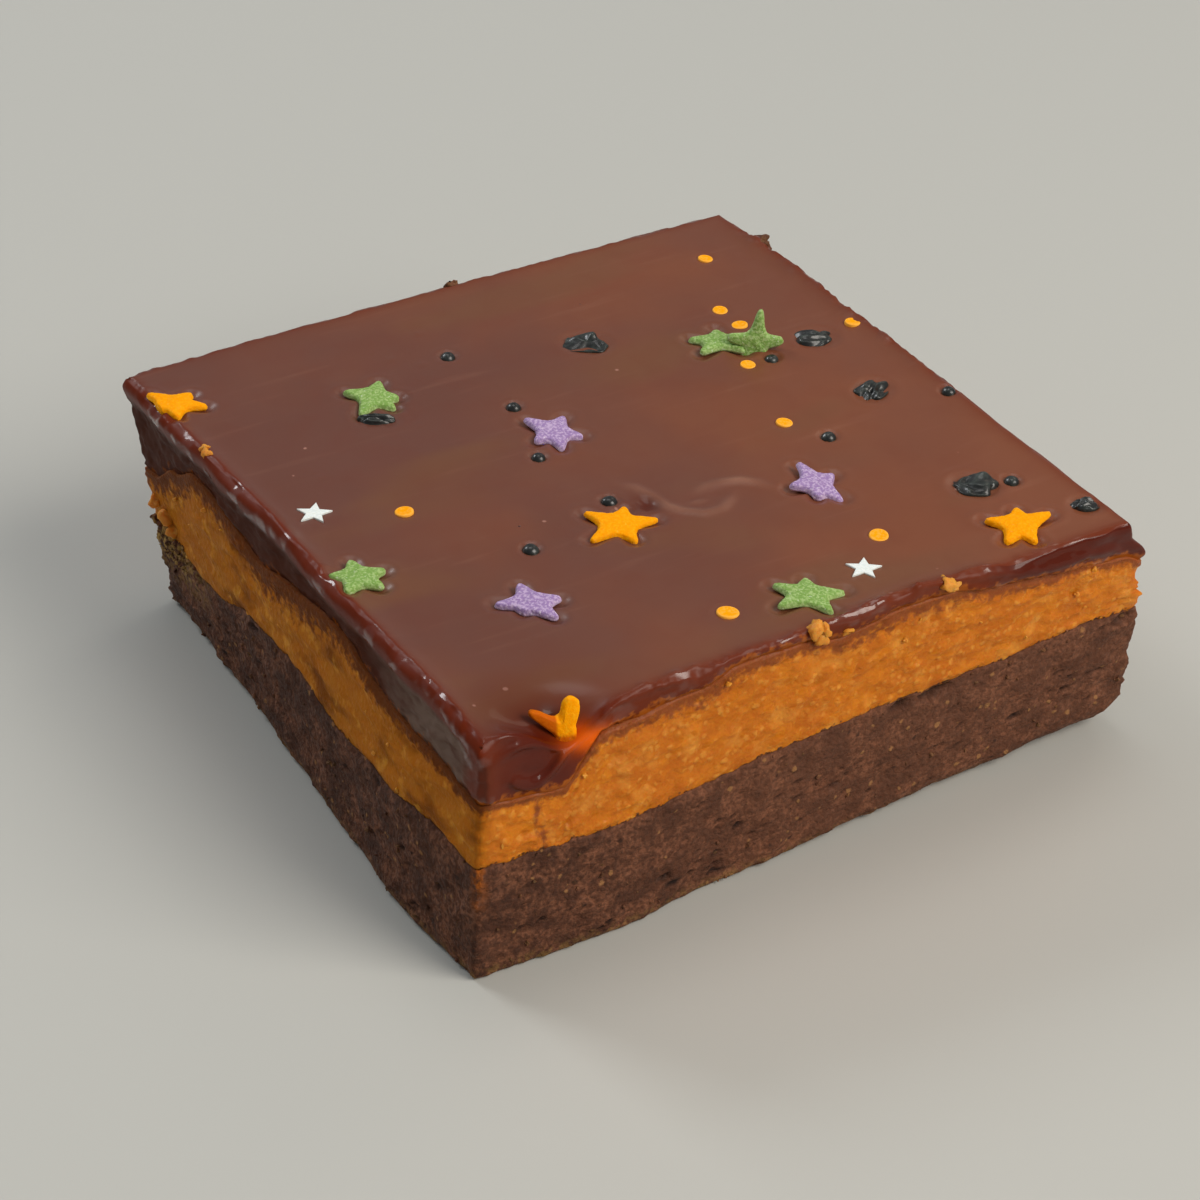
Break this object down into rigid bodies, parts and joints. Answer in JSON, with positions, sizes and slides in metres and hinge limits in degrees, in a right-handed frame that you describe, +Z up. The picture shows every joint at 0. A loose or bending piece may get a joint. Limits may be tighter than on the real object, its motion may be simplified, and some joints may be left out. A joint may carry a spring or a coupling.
{
  "type": "chocolate brownie",
  "caption": "Square layered chocolate brownie: dense chocolate base, thick caramel filling and glossy chocolate topping set with small sugar stars, discs and beads.",
  "frame": {"origin": "middle of the box round the whole slice, on the surface it stands on", "axes": "+Z up; +X runs along the front cut side towards the tray-edge side; +Y runs from the front cut side to the back"},
  "size_m": [0.0858, 0.0808, 0.0344],
  "materials": {
    "baked_base": "dark brown baked crumb, matt and slightly moist",
    "caramel": "orange-brown grainy caramel, soft satin",
    "chocolate": "milk-brown chocolate with a satin gloss"
  },
  "bodies": {
    "root": {"brownie_base": "baked_base", "caramel_filling": "caramel", "chocolate_topping": "chocolate"}
  },
  "joints": []
}
